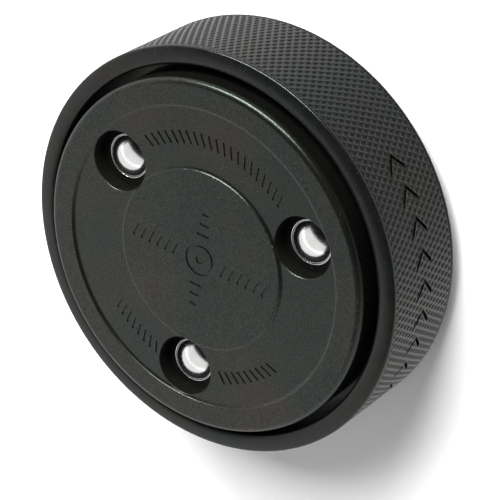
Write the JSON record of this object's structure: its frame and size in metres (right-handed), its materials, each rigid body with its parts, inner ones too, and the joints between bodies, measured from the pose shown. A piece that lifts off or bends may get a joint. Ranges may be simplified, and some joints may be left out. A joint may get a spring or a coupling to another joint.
{
  "type": "hockey puck",
  "caption": "Off-ice training puck: a knurled rubber ring gripped between plastic disc halves, with steel balls that turn in cups at the bottom of pockets in each face",
  "frame": {"origin": "centre of the rear face plane, the surface the puck lies on", "axes": "+Z is the puck's own axis, out of the front face; +X points at bore 1"},
  "size_m": [0.0762, 0.0762, 0.0254],
  "materials": {
    "ring_rubber": "black moulded rubber with a diamond knurl round the rim",
    "disc_plastic": "satin black moulded plastic",
    "cup_steel": "thin pressed steel with a bright rounded lip",
    "ball_steel": "polished bearing steel"
  },
  "bodies": {
    "puck": {"outer_ring": "ring_rubber", "front_disc": "disc_plastic", "rear_disc": "disc_plastic", "front_cup_1": "cup_steel", "front_cup_2": "cup_steel", "front_cup_3": "cup_steel", "rear_cup_1": "cup_steel", "rear_cup_2": "cup_steel", "rear_cup_3": "cup_steel"},
    "front_ball_1": {"front_ball_1": "ball_steel"},
    "front_ball_2": {"front_ball_2": "ball_steel"},
    "front_ball_3": {"front_ball_3": "ball_steel"},
    "rear_ball_1": {"rear_ball_1": "ball_steel"},
    "rear_ball_2": {"rear_ball_2": "ball_steel"},
    "rear_ball_3": {"rear_ball_3": "ball_steel"}
  },
  "joints": [
    {"name": "front_ball_1_roll", "type": "hinge", "parent": "puck", "child": "front_ball_1", "pos_m": [0.0226, 0, 0.01825], "axis": [1, 0, 0], "continuous": true},
    {"name": "front_ball_2_roll", "type": "hinge", "parent": "puck", "child": "front_ball_2", "pos_m": [-0.0113, 0.01957, 0.01825], "axis": [-0.5, 0.866, 0], "continuous": true},
    {"name": "front_ball_3_roll", "type": "hinge", "parent": "puck", "child": "front_ball_3", "pos_m": [-0.0113, -0.01957, 0.01825], "axis": [-0.5, -0.866, 0], "continuous": true},
    {"name": "rear_ball_1_roll", "type": "hinge", "parent": "puck", "child": "rear_ball_1", "pos_m": [0.0226, 0, 0.00715], "axis": [1, 0, 0], "continuous": true},
    {"name": "rear_ball_2_roll", "type": "hinge", "parent": "puck", "child": "rear_ball_2", "pos_m": [-0.0113, 0.01957, 0.00715], "axis": [-0.5, 0.866, 0], "continuous": true},
    {"name": "rear_ball_3_roll", "type": "hinge", "parent": "puck", "child": "rear_ball_3", "pos_m": [-0.0113, -0.01957, 0.00715], "axis": [-0.5, -0.866, 0], "continuous": true}
  ]
}
